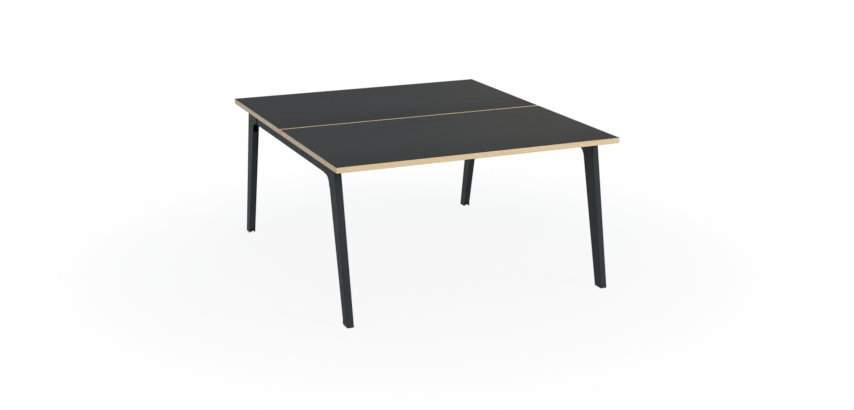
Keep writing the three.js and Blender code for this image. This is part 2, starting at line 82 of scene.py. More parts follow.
def place_piece(bm, node, material, body="desk_frame"):
    """Turns a bmesh into the finished piece that stands for a CAD node, on that node's body."""
    mesh = bpy.data.meshes.new(f"{node}_finish")
    bm.to_mesh(mesh)
    bm.free()
    mesh.materials.append(material)
    mesh.shade_smooth()
    mesh.set_sharp_from_angle(angle=FOLD_FACET)
    piece = bpy.data.objects.new(mesh.name, mesh)
    bpy.context.scene.collection.objects.link(piece)
    flat = piece.modifiers.new("flat_faces", "WEIGHTED_NORMAL")
    flat.keep_sharp = True
    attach(piece, body)
    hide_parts(node)
    return piece


def finish_copy(node, arris, material):
    """Puts a copy with rounded edges in the place of one of the frame's CAD nodes."""
    copy = merged_copy(node)
    ease_edges(copy, arris)
    place_piece(copy, node, material)


# Powder coat: polyester powder melted into a matt, finely textured skin that barely mirrors. It has a
# slight mottle, and shoes and brooms leave pale rubs near the floor. Its grain of about 0.6 mm is too fine
# to show, so it is drawn twice as coarse.
COAT_DARK, COAT_LIGHT, COAT_RUBBED = "#272b2e", "#2e3336", "#4b5053"
COAT_MOTTLE, COAT_GRAIN, COAT_GRAIN_DEPTH = 60 * MM, 1.2 * MM, 0.09 * MM
COAT_SMOOTHEST, COAT_ROUGHEST = 0.56, 0.64
RUB_SIZE, RUB_REACH = 14 * MM, 120 * MM
RUB_START, RUB_FULL, RUB_MOST = 0.52, 0.75, 0.5
# Most of a noise pattern's values lie between these two.
NOISE_LOW, NOISE_HIGH = 0.3, 0.7
# A Mix node's sockets for colours, which come after hidden ones of the same names.
MIX_SHARE, MIX_FIRST, MIX_SECOND, MIX_RESULT = 0, 6, 7, 2


def linear(colour):
    """An sRGB hex colour as the linear colour that shaders take."""
    channels = [int(colour[i:i + 2], 16) / 255 for i in (1, 3, 5)]
    return [c / 12.92 if c <= 0.04045 else ((c + 0.055) / 1.055) ** 2.4 for c in channels] + [1.0]


def add_node(tree, kind, inputs=None, **settings):
    """Adds a node with its settings, and gives each input a value or a link from another node's socket."""
    node = tree.nodes.new("ShaderNode" + kind)
    for name, value in settings.items():
        setattr(node, name, value)
    for name, value in (inputs or {}).items():
        if isinstance(value, bpy.types.NodeSocket):
            tree.links.new(value, node.inputs[name])
        else:
            node.inputs[name].default_value = value
    return node


def new_material(name):
    """An empty node material, its tree and the coordinates that its patterns follow."""
    material = bpy.data.materials.new(name)
    material.use_nodes = True
    material.node_tree.nodes.clear()
    return material, material.node_tree, add_node(material.node_tree, "TexCoord").outputs["Object"]


powder_coat, tree, place = new_material("anthracite_powder_coat")
mottle = add_node(tree, "TexNoise", {"Vector": place, "Scale": 1 / COAT_MOTTLE, "Detail": 4.0})
coat_tone = add_node(
    tree,
    "Mix",
    {MIX_SHARE: mottle.outputs[0], MIX_FIRST: linear(COAT_DARK), MIX_SECOND: linear(COAT_LIGHT)},
    data_type="RGBA",
)
height = add_node(tree, "SeparateXYZ", {"Vector": place})
low_down = add_node(
    tree,
    "MapRange",
    {
        "Value": height.outputs["Z"],
        "From Min": 0.0,
        "From Max": RUB_REACH,
        "To Min": RUB_MOST,
        "To Max": 0.0,
    },
)
rubs = add_node(
    tree, "TexNoise", {"Vector": place, "Scale": 1 / RUB_SIZE, "Detail": 8.0, "Roughness": 0.7}
)
rubbed = add_node(
    tree,
    "MapRange",
    {
        "Value": rubs.outputs[0],
        "From Min": RUB_START,
        "From Max": RUB_FULL,
        "To Min": 0.0,
        "To Max": 1.0,
    },
)
wear = add_node(tree, "Math", {0: low_down.outputs[0], 1: rubbed.outputs[0]}, operation="MULTIPLY")
worn_tone = add_node(
    tree,
    "Mix",
    {
        MIX_SHARE: wear.outputs[0],
        MIX_FIRST: coat_tone.outputs[MIX_RESULT],
        MIX_SECOND: linear(COAT_RUBBED),
    },
    data_type="RGBA",
)
coat_sheen = add_node(
    tree,
    "MapRange",
    {
        "Value": mottle.outputs[0],
        "From Min": NOISE_LOW,
        "From Max": NOISE_HIGH,
        "To Min": COAT_SMOOTHEST,
        "To Max": COAT_ROUGHEST,
    },
)
coat_grain = add_node(tree, "TexNoise", {"Vector": place, "Scale": 1 / COAT_GRAIN, "Detail": 3.0})
coat_bump = add_node(
    tree, "Bump", {"Height": coat_grain.outputs[0], "Strength": 0.8, "Distance": COAT_GRAIN_DEPTH}
)
shader = add_node(
    tree,
    "BsdfPrincipled",
    {
        "Base Color": worn_tone.outputs[MIX_RESULT],
        "Roughness": coat_sheen.outputs[0],
        "Normal": coat_bump.outputs[0],
        "IOR": 1.5,
        "Specular IOR Level": 0.1,
    },
)
add_node(tree, "OutputMaterial", {"Surface": shader.outputs[0]})

for node in [f"leg_{corner}" for corner in CORNERS] + ["end_rail_left", "end_rail_right"]:
    finish_copy(node, SHEET_ARRIS, powder_coat)


# Knee nut plates and bolts: inside each knee a tapped plate backs the rail's tongue, and two round-headed
# socket bolts from the inner side clamp leg and tongue against it. All are bright zinc-plated steel.
PLATE_ARRIS = 0.4 * MM
KNEE_BOLT = 6 * MM
# Sizes of a bolt's head and socket as shares of the bolt's diameter.
BOLT_HEAD, BOLT_HEAD_HEIGHT, BOLT_SOCKET, BOLT_SOCKET_DEPTH = 1.75, 0.55, 0.72, 0.32
# The flat rim as a share of the socket, and the dome as a share of the head's height.
BOLT_RIM, BOLT_DOME = 1.2, 0.85
BOLT_SIDES, DOME_STEPS, HEX_SIDES = 32, 6, 6
TOWARDS_MIDDLE = {"left": Vector((1, 0, 0)), "right": Vector((-1, 0, 0))}

# Zinc plate: a bright passivated skin over turned and cold-headed steel. It mirrors softly, with a faint
# cloud of warm and cool, and its grain is drawn coarser than the real one, which is too fine to show.
ZINC_COOL, ZINC_WARM = "#c3c7ca", "#cfcbc0"
ZINC_CLOUD, ZINC_GRAIN, ZINC_GRAIN_DEPTH = 5 * MM, 0.5 * MM, 0.01 * MM
ZINC_SMOOTHEST, ZINC_ROUGHEST = 0.26, 0.4

zinc_plate, tree, place = new_material("bright_zinc_plate")
zinc_cloud = add_node(tree, "TexNoise", {"Vector": place, "Scale": 1 / ZINC_CLOUD, "Detail": 5.0})
zinc_tone = add_node(
    tree,
    "Mix",
    {MIX_SHARE: zinc_cloud.outputs[0], MIX_FIRST: linear(ZINC_COOL), MIX_SECOND: linear(ZINC_WARM)},
    data_type="RGBA",
)
zinc_sheen = add_node(
    tree,
    "MapRange",
    {
        "Value": zinc_cloud.outputs[0],
        "From Min": NOISE_LOW,
        "From Max": NOISE_HIGH,
        "To Min": ZINC_SMOOTHEST,
        "To Max": ZINC_ROUGHEST,
    },
)
zinc_grain = add_node(tree, "TexNoise", {"Vector": place, "Scale": 1 / ZINC_GRAIN, "Detail": 2.0})
zinc_bump = add_node(
    tree, "Bump", {"Height": zinc_grain.outputs[0], "Strength": 0.3, "Distance": ZINC_GRAIN_DEPTH}
)
shader = add_node(
    tree,
    "BsdfPrincipled",
    {
        "Base Color": zinc_tone.outputs[MIX_RESULT],
        "Metallic": 1.0,
        "Roughness": zinc_sheen.outputs[0],
        "Normal": zinc_bump.outputs[0],
    },
)
add_node(tree, "OutputMaterial", {"Surface": shader.outputs[0]})


def spin_profile(bm, points, sides):
    """Turns a profile of (radius, height) points about the Z axis, and joins all points that meet."""
    verts = [bm.verts.new((radius, 0, z)) for radius, z in points]
    edges = [bm.edges.new(pair) for pair in zip(verts, verts[1:])]
    bmesh.ops.spin(
        bm,
        geom=verts + edges,
        cent=(0, 0, 0),
        axis=(0, 0, 1),
        angle=math.tau,
        steps=sides,
        use_merge=True,
    )
    bmesh.ops.remove_doubles(bm, verts=bm.verts, dist=MERGE_DISTANCE)


def socket_bolt(node, diameter, out):
    """Puts a bolt with a domed socket head in a CAD bolt's place. Out is the way that its head faces."""
    low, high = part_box(node)
    length = abs((high - low).dot(out))
    head, height = diameter * BOLT_HEAD / 2, diameter * BOLT_HEAD_HEIGHT
    socket, shank = diameter * BOLT_SOCKET / 2, diameter / 2
    rim, fall = BOLT_RIM * socket, BOLT_DOME * height
    rises = [step / DOME_STEPS * math.pi / 2 for step in range(DOME_STEPS + 1)]
    dome = [(rim + (head - rim) * math.sin(a), -fall * (1 - math.cos(a))) for a in rises]
    foot = [(head, -height), (shank, -height), (shank, -length), (0, -length)]
    bm = bmesh.new()
    spin_profile(bm, dome + foot, BOLT_SIDES)
    open_rim = [edge for edge in bm.edges if edge.is_boundary]
    bmesh.ops.create_circle(bm, segments=HEX_SIDES, radius=socket)
    hexagon = [edge for edge in bm.edges if edge.is_wire]
    walls = bmesh.ops.extrude_edge_only(bm, edges=hexagon)["geom"]
    floor_verts = [item for item in walls if isinstance(item, bmesh.types.BMVert)]
    floor_edges = [item for item in walls if isinstance(item, bmesh.types.BMEdge) and item.is_boundary]
    bmesh.ops.translate(bm, verts=floor_verts, vec=(0, 0, -diameter * BOLT_SOCKET_DEPTH))
    bmesh.ops.contextual_create(bm, geom=floor_edges)
    bmesh.ops.bridge_loops(bm, edges=open_rim + hexagon)
    bmesh.ops.recalc_face_normals(bm, faces=bm.faces)
    turn = Vector((0, 0, 1)).rotation_difference(out).to_matrix().to_4x4()
    at = Matrix.Translation((low + high) / 2 + out * length / 2)
    bmesh.ops.transform(bm, matrix=at @ turn, verts=bm.verts)
    place_piece(bm, node, zinc_plate)


for corner in CORNERS:
    finish_copy(f"knee_nut_plate_{corner}", PLATE_ARRIS, zinc_plate)
    for where in ("outer", "inner"):
        socket_bolt(f"knee_bolt_{corner}_{where}", KNEE_BOLT, TOWARDS_MIDDLE[corner.split("_")[1]])


# Foot plates: a steel plate with a nut on it, welded across the inside of each leg just above the floor. A
# rippled bead along each side of its underside is the weld, and it is coated together with the leg.
BEAD_RADIUS, BEAD_RIPPLE, BEAD_PITCH = 1.7 * MM, 0.25 * MM, 2.4 * MM
BEAD_SIDES, BEAD_SETBACK = 10, 5 * MM


def close_holes(bm):
    """Caps every open end of a bmesh."""
    bmesh.ops.holes_fill(bm, edges=[edge for edge in bm.edges if edge.is_boundary])


def weld_bead(bm, start, end):
    """A bead from start to end, drawn ring by ring so that it swells once in every pitch."""
    steps = 2 * round((end - start).length / BEAD_PITCH)
    turn = Vector((0, 0, 1)).rotation_difference(end - start).to_matrix().to_4x4()
    at = Matrix.Translation(start) @ turn
    ring = bmesh.ops.create_circle(bm, cap_ends=True, segments=BEAD_SIDES, radius=BEAD_RADIUS, matrix=at)
    tip = ring["verts"][0].link_faces[0]
    wider = (BEAD_RADIUS + BEAD_RIPPLE) / BEAD_RADIUS
    for step in range(steps):
        swell = 1 / wider if step % 2 else wider
        tip = bmesh.ops.extrude_discrete_faces(bm, faces=[tip])["faces"][0]
        back = Matrix.Translation(-tip.calc_center_median())
        bmesh.ops.scale(bm, vec=(swell, swell, swell), space=back, verts=tip.verts)
        bmesh.ops.translate(bm, vec=(end - start) / steps, verts=tip.verts)
    close_holes(bm)
    bmesh.ops.recalc_face_normals(bm, faces=bm.faces)


for corner in CORNERS:
    node = f"foot_plate_{corner}"
    low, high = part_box(node)
    plate = merged_copy(node)
    ease_edges(plate, SHEET_ARRIS)
    for x in (low.x, high.x):
        start = Vector((x, low.y + BEAD_SETBACK, low.z))
        end = Vector((x, high.y - BEAD_SETBACK, low.z))
        weld_bead(plate, start, end)
    place_piece(plate, node, powder_coat)


# Levelling studs: turned and rolled from steel bar, with a ball for the glide, a hexagon for the spanner
# and an M8 thread that screws up through the nut. They are zinc plated and passivated black.
BALL_RADIUS, BALL_STEPS = 5.5 * MM, 12
STUD_NECK, STUD_SIDES = 3.2 * MM, 24
HEX_BOTTOM, HEX_HEIGHT, HEX_CORNER, HEX_EASE = 15 * MM, 8 * MM, 7.5 * MM, 0.4 * MM
HEX_MIDDLE = HEX_BOTTOM + HEX_HEIGHT / 2
THREAD_PITCH, THREAD_CREST, THREAD_ROOT, THREAD_RELIEF = 1.25 * MM, 3.95 * MM, 3.25 * MM, 1 * MM

# Black zinc: a dark passivated skin with a faint oily sheen, paler in patches where it has been rubbed.
BLACK_ZINC, BLACK_ZINC_WORN = "#2a2b2d", "#48494a"
BLACK_ZINC_CLOUD, BLACK_ZINC_DEPTH = 3 * MM, 0.02 * MM
WORN_START, WORN_FULL = 0.5, 0.75

black_zinc, tree, place = new_material("black_passivated_zinc")
black_cloud = add_node(tree, "TexNoise", {"Vector": place, "Scale": 1 / BLACK_ZINC_CLOUD, "Detail": 5.0})
worn = add_node(
    tree,
    "MapRange",
    {
        "Value": black_cloud.outputs[0],
        "From Min": WORN_START,
        "From Max": WORN_FULL,
        "To Min": 0.0,
        "To Max": 1.0,
    },
)
black_tone = add_node(
    tree,
    "Mix",
    {MIX_SHARE: worn.outputs[0], MIX_FIRST: linear(BLACK_ZINC), MIX_SECOND: linear(BLACK_ZINC_WORN)},
    data_type="RGBA",
)
black_bump = add_node(
    tree, "Bump", {"Height": black_cloud.outputs[0], "Strength": 0.2, "Distance": BLACK_ZINC_DEPTH}
)
shader = add_node(
    tree,
    "BsdfPrincipled",
    {
        "Base Color": black_tone.outputs[MIX_RESULT],
        "Metallic": 1.0,
        "Roughness": 0.42,
        "Normal": black_bump.outputs[0],
    },
)
add_node(tree, "OutputMaterial", {"Surface": shader.outputs[0]})


def thread(bm, bottom, top):
    """A thread about the Z axis: a zigzag profile that climbs by one pitch as it is spun once round."""
    turns = int((top - bottom) / THREAD_PITCH)
    verts = []
    for half_turn in range(2 * turns + 1):
        radius = THREAD_CREST if half_turn % 2 else THREAD_ROOT
        verts.append(bm.verts.new((radius, 0, bottom + half_turn * THREAD_PITCH / 2)))
    edges = [bm.edges.new(pair) for pair in zip(verts, verts[1:])]
    bmesh.ops.spin(
        bm,
        geom=verts + edges,
        cent=(0, 0, 0),
        axis=(0, 0, 1),
        dvec=(0, 0, THREAD_PITCH / STUD_SIDES),
        angle=math.tau,
        steps=STUD_SIDES,
    )


for corner in CORNERS:
    node = f"foot_stud_{corner}"
    low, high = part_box(node)
    stud = bmesh.new()
    thread(stud, HEX_MIDDLE, high.z - THREAD_PITCH - THREAD_RELIEF)
    ball_top = math.asin(STUD_NECK / BALL_RADIUS)
    rises = [math.pi - step / BALL_STEPS * (math.pi - ball_top) for step in range(BALL_STEPS + 1)]
    ball_z = low.z + BALL_RADIUS
    ball = [(BALL_RADIUS * math.sin(a), ball_z + BALL_RADIUS * math.cos(a)) for a in rises]
    neck = [(STUD_NECK, HEX_MIDDLE), (0, HEX_MIDDLE)]
    spin_profile(stud, ball + neck, STUD_SIDES)
    shank = [(0, HEX_MIDDLE), (THREAD_ROOT, HEX_MIDDLE)]
    tip = [(THREAD_ROOT, high.z - THREAD_RELIEF), (THREAD_ROOT - THREAD_RELIEF, high.z), (0, high.z)]
    spin_profile(stud, shank + tip, STUD_SIDES)
    close_holes(stud)
    hexagon = bmesh.ops.create_cone(
        stud,
        cap_ends=True,
        segments=HEX_SIDES,
        radius1=HEX_CORNER,
        radius2=HEX_CORNER,
        depth=HEX_HEIGHT,
        matrix=Matrix.Translation((0, 0, HEX_MIDDLE)),
    )["verts"]
    hexagon_edges = {edge for vert in hexagon for edge in vert.link_edges}
    ease_edges(stud, HEX_EASE, lambda edge: edge in hexagon_edges)
    bmesh.ops.recalc_face_normals(stud, faces=stud.faces)
    bmesh.ops.translate(stud, vec=((low.x + high.x) / 2, (low.y + high.y) / 2, 0), verts=stud.verts)
    place_piece(stud, node, black_zinc, f"stud_{corner}")


# Levelling glides: moulded nylon pads that snap over the stud's ball. They are rounded where they slide on
# the floor, and a fine parting line of the mould runs round their side.
GLIDE_SIDES, GLIDE_ROUND_STEPS = 64, 4
GLIDE_EDGE, GLIDE_PARTING = 1.5 * MM, 0.25 * MM
GLIDE_SOCKET_GAP, GLIDE_FLOOR = 0.3 * MM, 1.5 * MM

# Nylon: black all through, with the spark texture of the mould, which keeps its sheen dull and broken. The
# texture is drawn coarser than the real 0.2 mm, which is too fine to show.
NYLON_DARK, NYLON_LIGHT = "#0c0c0d", "#161617"
NYLON_SPARK, NYLON_SPARK_DEPTH = 0.5 * MM, 0.03 * MM
NYLON_SMOOTHEST, NYLON_ROUGHEST = 0.48, 0.62

black_nylon, tree, place = new_material("black_moulded_nylon")
spark = add_node(tree, "TexNoise", {"Vector": place, "Scale": 1 / NYLON_SPARK, "Detail": 3.0})
nylon_tone = add_node(
    tree,
    "Mix",
    {MIX_SHARE: spark.outputs[0], MIX_FIRST: linear(NYLON_DARK), MIX_SECOND: linear(NYLON_LIGHT)},
    data_type="RGBA",
)
nylon_sheen = add_node(
    tree,
    "MapRange",
    {
        "Value": spark.outputs[0],
        "From Min": NOISE_LOW,
        "From Max": NOISE_HIGH,
        "To Min": NYLON_SMOOTHEST,
        "To Max": NYLON_ROUGHEST,
    },
)
nylon_bump = add_node(
    tree, "Bump", {"Height": spark.outputs[0], "Strength": 0.5, "Distance": NYLON_SPARK_DEPTH}
)
shader = add_node(
    tree,
    "BsdfPrincipled",
    {
        "Base Color": nylon_tone.outputs[MIX_RESULT],
        "Roughness": nylon_sheen.outputs[0],
        "Normal": nylon_bump.outputs[0],
        "IOR": 1.53,
    },
)
add_node(tree, "OutputMaterial", {"Surface": shader.outputs[0]})

for corner in CORNERS:
    node = f"glide_pad_{corner}"
    low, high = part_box(node)
    radius, top = (high.x - low.x) / 2, high.z
    quarter = [step / GLIDE_ROUND_STEPS * math.pi / 2 for step in range(GLIDE_ROUND_STEPS + 1)]
    inset = radius - GLIDE_EDGE
    lower = [(inset + GLIDE_EDGE * math.sin(a), GLIDE_EDGE * (1 - math.cos(a))) for a in quarter]
    parting = [
        (radius, top / 2 - GLIDE_PARTING),
        (radius - GLIDE_PARTING, top / 2),
        (radius, top / 2 + GLIDE_PARTING),
    ]
    upper = [(inset + GLIDE_EDGE * math.cos(a), top - GLIDE_EDGE * (1 - math.sin(a))) for a in quarter]
    socket = BALL_RADIUS + GLIDE_SOCKET_GAP
    ball_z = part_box(f"foot_stud_{corner}")[0].z + BALL_RADIUS
    mouth, bottom = math.acos((top - ball_z) / socket), math.acos((GLIDE_FLOOR - ball_z) / socket)
    falls = [mouth + (bottom - mouth) * step / BALL_STEPS for step in range(BALL_STEPS)]
    bowl = [(socket * math.sin(a), ball_z + socket * math.cos(a)) for a in falls]
    pad = bmesh.new()
    spin_profile(pad, [(0, 0)] + lower + parting + upper + bowl + [(0, GLIDE_FLOOR)], GLIDE_SIDES)
    bmesh.ops.recalc_face_normals(pad, faces=pad.faces)
    bmesh.ops.translate(pad, vec=((low.x + high.x) / 2, (low.y + high.y) / 2, 0), verts=pad.verts)
    place_piece(pad, node, black_nylon, f"glide_{corner}")


# Beams and their brackets: a rectangular steel tube under each top, from end frame to end frame. Each end
# slides over a stub that is welded to a plate, and two socket bolts hold the plate to the end rail.
BEAM_BOLT = 8 * MM

for end in ("front", "rear"):
    finish_copy(f"beam_{end}", SHEET_ARRIS, powder_coat)
for corner in CORNERS:
    finish_copy(f"beam_bracket_{corner}", SHEET_ARRIS, powder_coat)
    for where in ("outer", "inner"):
        socket_bolt(f"beam_bolt_{corner}_{where}", BEAM_BOLT, TOWARDS_MIDDLE[corner.split("_")[1]])


# Top cores: birch plywood, sawn to size and sanded, with its edges left bare under a clear lacquer. The
# plies cross, so each edge shows long grain and end grain in turn, with a thin dark glue line between.
PLIES, GLUE_SHARE, GLUE_STRENGTH = 9, 0.07, 0.6
# What lies this near the core's ends is an end face.
END_SKIN = 1 * MM

# Birch: pale and finely streaked along the grain, browner and pored across it, and its tone drifts along
# the edge. Plies, streaks and pores are drawn coarser than the real ones, which are too fine to show.
LONG_LIGHT, LONG_DARK = "#dfceb2", "#d1b993"
END_LIGHT, END_DARK, GLUE = "#cbae88", "#b6956b", "#917156"
GRAIN_LENGTH, GRAIN_WIDTH, PORE, PORE_DEPTH = 70 * MM, 0.7 * MM, 1.3 * MM, 0.05 * MM
BOARD_DRIFT, DRIFT_DARKEST, DRIFT_PALEST = 160 * MM, 0.92, 1.06

core_low, core_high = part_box("top_core_front")

birch, tree, place = new_material("lacquered_birch_plywood")
axes = add_node(tree, "SeparateXYZ", {"Vector": place})
along = add_node(tree, "Math", {0: axes.outputs["X"], 1: axes.outputs["Y"]}, operation="ADD")
level = add_node(
    tree,
    "MapRange",
    {
        "Value": axes.outputs["Z"],
        "From Min": core_low.z,
        "From Max": core_high.z,
        "To Min": 0.0,
        "To Max": PLIES,
    },
    clamp=False,
)
layer = add_node(tree, "Math", {0: level.outputs[0]}, operation="FLOOR")
within = add_node(tree, "Math", {0: level.outputs[0]}, operation="FRACT")
sideways = add_node(tree, "Math", {0: axes.outputs["X"]}, operation="ABSOLUTE")
on_end = add_node(
    tree, "Math", {0: sideways.outputs[0], 1: core_high.x - END_SKIN}, operation="GREATER_THAN"
)
turned = add_node(tree, "Math", {0: layer.outputs[0], 1: on_end.outputs[0]}, operation="ADD")
end_grain = add_node(tree, "Math", {0: turned.outputs[0], 1: 2.0}, operation="FLOORED_MODULO")

drawn_out = add_node(
    tree, "Math", {0: along.outputs[0], 1: GRAIN_WIDTH / GRAIN_LENGTH}, operation="MULTIPLY"
)
long_place = add_node(
    tree, "CombineXYZ", {"X": drawn_out.outputs[0], "Y": axes.outputs["Z"], "Z": layer.outputs[0]}
)
streaks = add_node(
    tree,
    "TexNoise",
    {"Vector": long_place.outputs[0], "Scale": 1 / GRAIN_WIDTH, "Detail": 4.0, "Distortion": 0.4},
)
long_tone = add_node(
    tree,
    "Mix",
    {MIX_SHARE: streaks.outputs[0], MIX_FIRST: linear(LONG_DARK), MIX_SECOND: linear(LONG_LIGHT)},
    data_type="RGBA",
)
end_place = add_node(
    tree, "CombineXYZ", {"X": along.outputs[0], "Y": axes.outputs["Z"], "Z": layer.outputs[0]}
)
pores = add_node(tree, "TexNoise", {"Vector": end_place.outputs[0], "Scale": 1 / PORE, "Detail": 5.0})
end_tone = add_node(
    tree,
    "Mix",
    {MIX_SHARE: pores.outputs[0], MIX_FIRST: linear(END_DARK), MIX_SECOND: linear(END_LIGHT)},
    data_type="RGBA",
)
ply_tone = add_node(
    tree,
    "Mix",
    {
        MIX_SHARE: end_grain.outputs[0],
        MIX_FIRST: long_tone.outputs[MIX_RESULT],
        MIX_SECOND: end_tone.outputs[MIX_RESULT],
    },
    data_type="RGBA",
)
glue_line = add_node(tree, "Math", {0: within.outputs[0], 1: GLUE_SHARE}, operation="LESS_THAN")
glue_weight = add_node(tree, "Math", {0: glue_line.outputs[0], 1: GLUE_STRENGTH}, operation="MULTIPLY")
glued_tone = add_node(
    tree,
    "Mix",
    {MIX_SHARE: glue_weight.outputs[0], MIX_FIRST: ply_tone.outputs[MIX_RESULT], MIX_SECOND: linear(GLUE)},
    data_type="RGBA",
)
drift = add_node(
    tree, "TexNoise", {"Vector": end_place.outputs[0], "Scale": 1 / BOARD_DRIFT, "Detail": 3.0}
)
drift_value = add_node(
    tree,
    "MapRange",
    {
        "Value": drift.outputs[0],
        "From Min": NOISE_LOW,
        "From Max": NOISE_HIGH,
        "To Min": DRIFT_DARKEST,
        "To Max": DRIFT_PALEST,
    },
)
birch_tone = add_node(
    tree, "HueSaturation", {"Value": drift_value.outputs[0], "Color": glued_tone.outputs[MIX_RESULT]}
)
birch_bump = add_node(tree, "Bump", {"Height": pores.outputs[0], "Strength": 0.3, "Distance": PORE_DEPTH})
shader = add_node(
    tree,
    "BsdfPrincipled",
    {
        "Base Color": birch_tone.outputs[0],
        "Roughness": 0.45,
        "Normal": birch_bump.outputs[0],
        "IOR": 1.5,
        "Specular IOR Level": 0.2,
    },
)
add_node(tree, "OutputMaterial", {"Surface": shader.outputs[0]})

for end in ("front", "rear"):
    core = merged_copy(f"top_core_{end}")
    place_piece(core, f"top_core_{end}", birch)


# Laminates and backers: thin sheets of resin-soaked paper, pressed hard and glued on both sides of the
# core so that it stays flat. They are sawn flush with the core, and their outer arrises are eased.
LAMINATE_EASE = 0.4 * MM
# An edge this near the outer face lies on it.
ON_FACE = 0.01 * MM
# A face whose normal rises less than this belongs to the sawn edge.
SAWN_RISE = 0.5

# Black laminate: a matt printed face that drinks light, with a pearl texture and faint streaks of wiping
# in its sheen. Its colour is darkened towards the front edge of each top, as painted shade. The pearl is
# drawn coarser than the real 0.5 mm, which is too fine to show.
LAMINATE_DARK, LAMINATE_LIGHT = "#36393a", "#3c3f40"
LAMINATE_CLOUD, LAMINATE_PEARL, LAMINATE_PEARL_DEPTH = 120 * MM, 0.9 * MM, 0.02 * MM
# How dark the painted shade is at each top's front edge, and how far back into the top it fades out.
LAMINATE_PAINTED_SHADE, LAMINATE_SHADE_REACH = 0.76, 340 * MM
LAMINATE_SMOOTHEST, LAMINATE_ROUGHEST = 0.59, 0.65
WIPE_WIDTH, WIPE_LENGTH = 6 * MM, 260 * MM

# One top follows the other at half the desk's depth.
top_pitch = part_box("top_core_rear")[1].y

laminate, tree, place = new_material("matt_black_laminate")
clouds = add_node(tree, "TexNoise", {"Vector": place, "Scale": 1 / LAMINATE_CLOUD, "Detail": 4.0})
laminate_tone = add_node(
    tree,
    "Mix",
    {MIX_SHARE: clouds.outputs[0], MIX_FIRST: linear(LAMINATE_DARK), MIX_SECOND: linear(LAMINATE_LIGHT)},
    data_type="RGBA",
)
depth = add_node(tree, "SeparateXYZ", {"Vector": place})
past_edge = add_node(tree, "Math", {0: depth.outputs["Y"], 1: top_pitch}, operation="FLOORED_MODULO")
# Painted shade: the laminate's colour darkens towards the front edge of each top.
painted_shade = add_node(
    tree,
    "MapRange",
    {
        "Value": past_edge.outputs[0],
        "From Min": 0.0,
        "From Max": LAMINATE_SHADE_REACH,
        "To Min": LAMINATE_PAINTED_SHADE,
        "To Max": 1.0,
    },
    interpolation_type="SMOOTHSTEP",
)
# The laminate's colour with the painted shade along each top's front edge.
shaded_laminate_tone = add_node(
    tree, "HueSaturation", {"Value": painted_shade.outputs[0], "Color": laminate_tone.outputs[MIX_RESULT]}
)
wiped = add_node(tree, "Mapping", {"Vector": place, "Scale": (1 / WIPE_LENGTH, 1 / WIPE_WIDTH, 1.0)})
wipes = add_node(
    tree, "TexNoise", {"Vector": wiped.outputs[0], "Scale": 1.0, "Detail": 3.0, "Distortion": 0.6}
)
laminate_sheen = add_node(
    tree,
    "MapRange",
    {
        "Value": wipes.outputs[0],
        "From Min": NOISE_LOW,
        "From Max": NOISE_HIGH,
        "To Min": LAMINATE_SMOOTHEST,
        "To Max": LAMINATE_ROUGHEST,
    },
)
pearl = add_node(tree, "TexNoise", {"Vector": place, "Scale": 1 / LAMINATE_PEARL, "Detail": 2.0})
pearl_bump = add_node(
    tree, "Bump", {"Height": pearl.outputs[0], "Strength": 0.4, "Distance": LAMINATE_PEARL_DEPTH}
)
shader = add_node(
    tree,
    "BsdfPrincipled",
    {
        "Base Color": shaded_laminate_tone.outputs[0],
        "Roughness": laminate_sheen.outputs[0],
        "Normal": pearl_bump.outputs[0],
        "IOR": 1.5,
        "Specular IOR Level": 0.03,
    },
)
add_node(tree, "OutputMaterial", {"Surface": shader.outputs[0]})

# Kraft paper: the laminate's core, which shows along its sawn edge as a thin, dull, fibrous brown line.
KRAFT, KRAFT_FIBRE = "#7d6247", 0.9 * MM

kraft, tree, place = new_material("kraft_paper_core")
fibres = add_node(tree, "TexNoise", {"Vector": place, "Scale": 1 / KRAFT_FIBRE, "Detail": 4.0})
kraft_tone = add_node(
    tree,
    "Mix",
    {MIX_SHARE: fibres.outputs[0], MIX_FIRST: linear(KRAFT), MIX_SECOND: linear(LAMINATE_DARK)},
    data_type="RGBA",
)
shader = add_node(tree, "BsdfPrincipled", {"Base Color": kraft_tone.outputs[MIX_RESULT], "Roughness": 0.6})
add_node(tree, "OutputMaterial", {"Surface": shader.outputs[0]})

for end in ("front", "rear"):
    for node, face in ((f"top_laminate_{end}", 1), (f"top_backer_{end}", 0)):
        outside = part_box(node)[face].z
        sheet = merged_copy(node)
        ease_edges(
            sheet, LAMINATE_EASE, lambda edge: all(abs(v.co.z - outside) < ON_FACE for v in edge.verts)
        )
        piece = place_piece(sheet, node, laminate)
        piece.data.materials.append(kraft)
        for polygon in piece.data.polygons:
            polygon.material_index = int(abs(polygon.normal.z) < SAWN_RISE)


# Top screws: zinc-plated steel, with a round head and a hexagon socket, two to a corner. They are driven
# from below through the rail's top into the core, and their heads stay inside the rail.
TOP_SCREW = 6 * MM

for corner in CORNERS:
    for where in ("outer", "inner"):
        socket_bolt(f"top_screw_{corner}_{where}", TOP_SCREW, Vector((0, 0, -1)))


